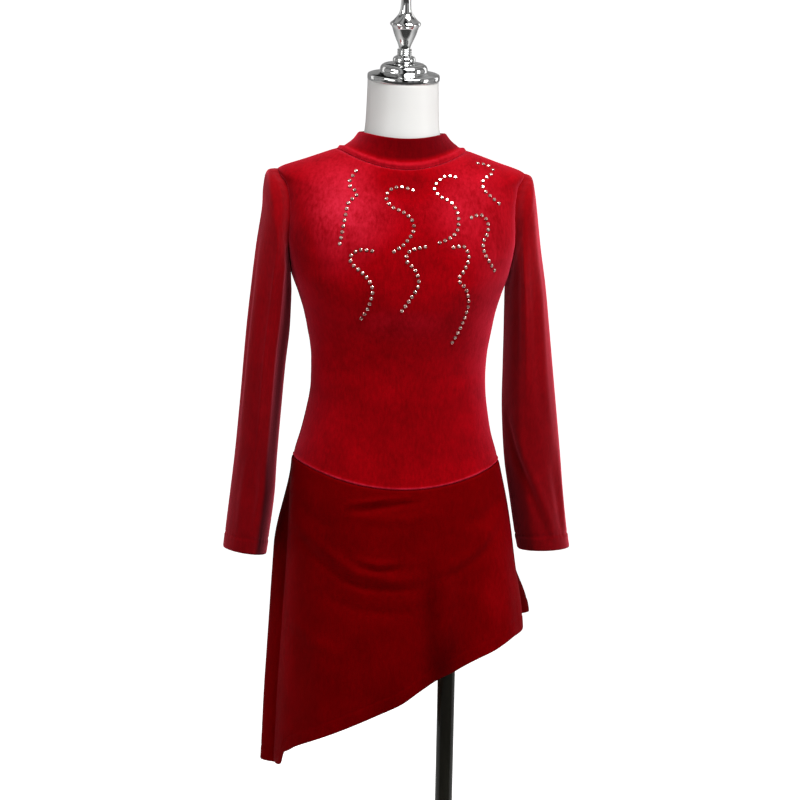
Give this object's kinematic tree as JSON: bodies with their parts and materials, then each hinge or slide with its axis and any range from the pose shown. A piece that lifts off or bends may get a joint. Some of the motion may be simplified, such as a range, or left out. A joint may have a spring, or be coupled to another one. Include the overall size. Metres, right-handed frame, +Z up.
{
  "type": "figure skating dress on a limbless dress form with a pole stand",
  "caption": "Long-sleeved figure skating dress with a mock neck and a slanting skirt, on a limbless dress form with a pole stand.",
  "frame": {"origin": "on the floor, under the middle of the dress form and in the middle of the part's box", "axes": "+Z up, -Y the front of the dress, +X the wearer's left"},
  "size_m": [0.4938, 0.34, 1.602],
  "materials": {
    "red_velvet": "matte",
    "form_white": "satin",
    "bright_chrome": "polished",
    "black_gloss": "gloss"
  },
  "bodies": {
    "root": {"bodice_front": "red_velvet", "bodice_back": "red_velvet", "collar": "red_velvet", "sleeve_left": "red_velvet", "sleeve_right": "red_velvet", "skirt_front": "red_velvet", "skirt_back": "red_velvet", "brief_front": "red_velvet", "brief_back": "red_velvet", "form_body": "form_white", "neck_cap": "bright_chrome", "finial": "bright_chrome", "pole": "black_gloss", "pole_socket": "black_gloss", "stand_base": "black_gloss"}
  },
  "joints": []
}
